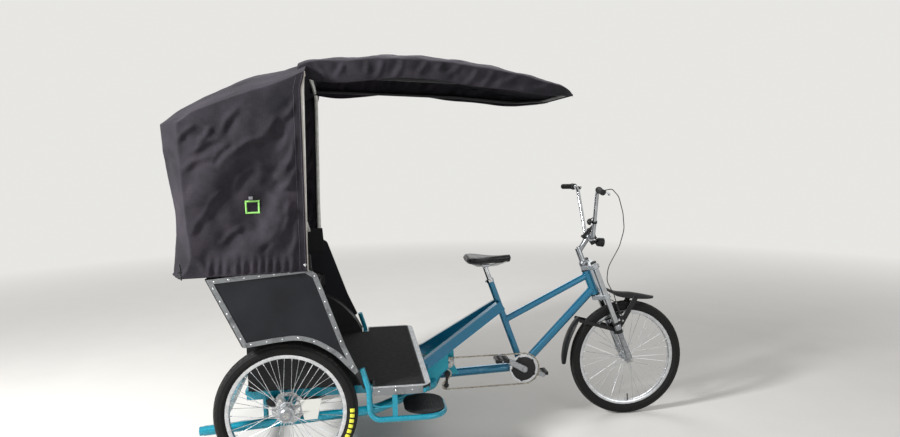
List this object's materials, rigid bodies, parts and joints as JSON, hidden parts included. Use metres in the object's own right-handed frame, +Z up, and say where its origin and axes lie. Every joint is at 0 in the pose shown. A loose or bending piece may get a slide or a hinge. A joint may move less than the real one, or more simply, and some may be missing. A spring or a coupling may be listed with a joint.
{
  "type": "cycle rickshaw",
  "caption": "Three-wheeled pedal cab with a hooded passenger bench, low entry steps, an open tube frame, a chain drive and a suspension fork under a long canvas awning.",
  "frame": {"origin": "on the ground, midway along the vehicle's length, on its centre plane", "axes": "+X forward, +Y to the rider's left, +Z up"},
  "size_m": [2.7993, 1.24, 2.082],
  "materials": {
    "frame_blue": "gloss metallic blue",
    "tyre_rubber": "matt",
    "bright_alloy": "polished",
    "steel": "satin",
    "fork_silver": "satin silver",
    "chrome": "bright",
    "black_metal": "satin black",
    "black_plastic": "satin",
    "grip_rubber": "matt",
    "lamp": "gloss",
    "panel_black": "satin black",
    "trim_alloy": "satin",
    "deck": "ribbed matt",
    "seat_vinyl": "satin",
    "canvas": "matt",
    "bow_paint": "gloss"
  },
  "bodies": {
    "chassis": {"front_frame": "frame_blue", "rear_beams": "frame_blue", "carriage_frame": "frame_blue", "entry_steps": "frame_blue", "jack_plates": "frame_blue", "axle_bearings": "frame_blue", "jackshaft": "steel", "drive_chains": "steel", "differential": "steel", "seat_post": "chrome", "derailleur": "black_metal", "rear_brakes": "black_metal", "step_treads": "black_plastic", "saddle": "black_plastic", "side_panel_right": "panel_black", "side_panel_left": "panel_black", "wheel_well_right": "panel_black", "wheel_well_left": "panel_black", "back_board": "panel_black", "seat_base": "panel_black", "panel_trims": "trim_alloy", "floor_trim": "trim_alloy", "floor_deck": "deck", "seat_cushion": "seat_vinyl", "back_cushion": "seat_vinyl", "hood_cover": "canvas", "awning_cover": "canvas", "hood_bows": "bow_paint", "awning_frame": "bow_paint"},
    "steering": {"fork_crowns": "fork_silver", "fork_stanchions": "chrome", "fork_lower_legs": "fork_silver", "handlebar": "chrome", "stem": "chrome", "grips": "grip_rubber", "brake_levers": "black_metal", "headlight": "lamp", "front_fender": "black_plastic", "front_brake": "chrome", "brake_cable": "black_plastic"},
    "front_wheel": {"front_tyre": "tyre_rubber", "front_laced_rim": "bright_alloy"},
    "rear_wheel_right": {"rear_tyre_right": "tyre_rubber", "rear_laced_rim_right": "bright_alloy", "half_shaft_right": "steel"},
    "rear_wheel_left": {"rear_tyre_left": "tyre_rubber", "rear_laced_rim_left": "bright_alloy", "half_shaft_left": "steel"},
    "crankset": {"crankset": "black_metal"},
    "pedal_right": {"pedal_right": "black_plastic"},
    "pedal_left": {"pedal_left": "black_plastic"}
  },
  "joints": [
    {"name": "steer", "type": "hinge", "parent": "chassis", "child": "steering", "pos_m": [0.84559, 0, 0.79267], "axis": [-0.3584, 0, 0.9336], "range_deg": [-45, 45]},
    {"name": "front_wheel_spin", "type": "hinge", "parent": "steering", "child": "front_wheel", "pos_m": [1.06025, 0, 0.3395], "axis": [0, 1, 0], "continuous": true},
    {"name": "rear_wheel_right_spin", "type": "hinge", "parent": "chassis", "child": "rear_wheel_right", "pos_m": [-0.85475, -0.548, 0.3395], "axis": [0, 1, 0], "continuous": true},
    {"name": "rear_wheel_left_spin", "type": "hinge", "parent": "chassis", "child": "rear_wheel_left", "pos_m": [-0.85475, 0.548, 0.3395], "axis": [0, 1, 0], "continuous": true},
    {"name": "crank_spin", "type": "hinge", "parent": "chassis", "child": "crankset", "pos_m": [0.42925, 0, 0.321], "axis": [0, 1, 0], "continuous": true},
    {"name": "pedal_right_spin", "type": "hinge", "parent": "crankset", "child": "pedal_right", "pos_m": [0.28203, -0.084, 0.406], "axis": [0, 1, 0], "continuous": true},
    {"name": "pedal_left_spin", "type": "hinge", "parent": "crankset", "child": "pedal_left", "pos_m": [0.57647, 0.084, 0.236], "axis": [0, 1, 0], "continuous": true}
  ]
}
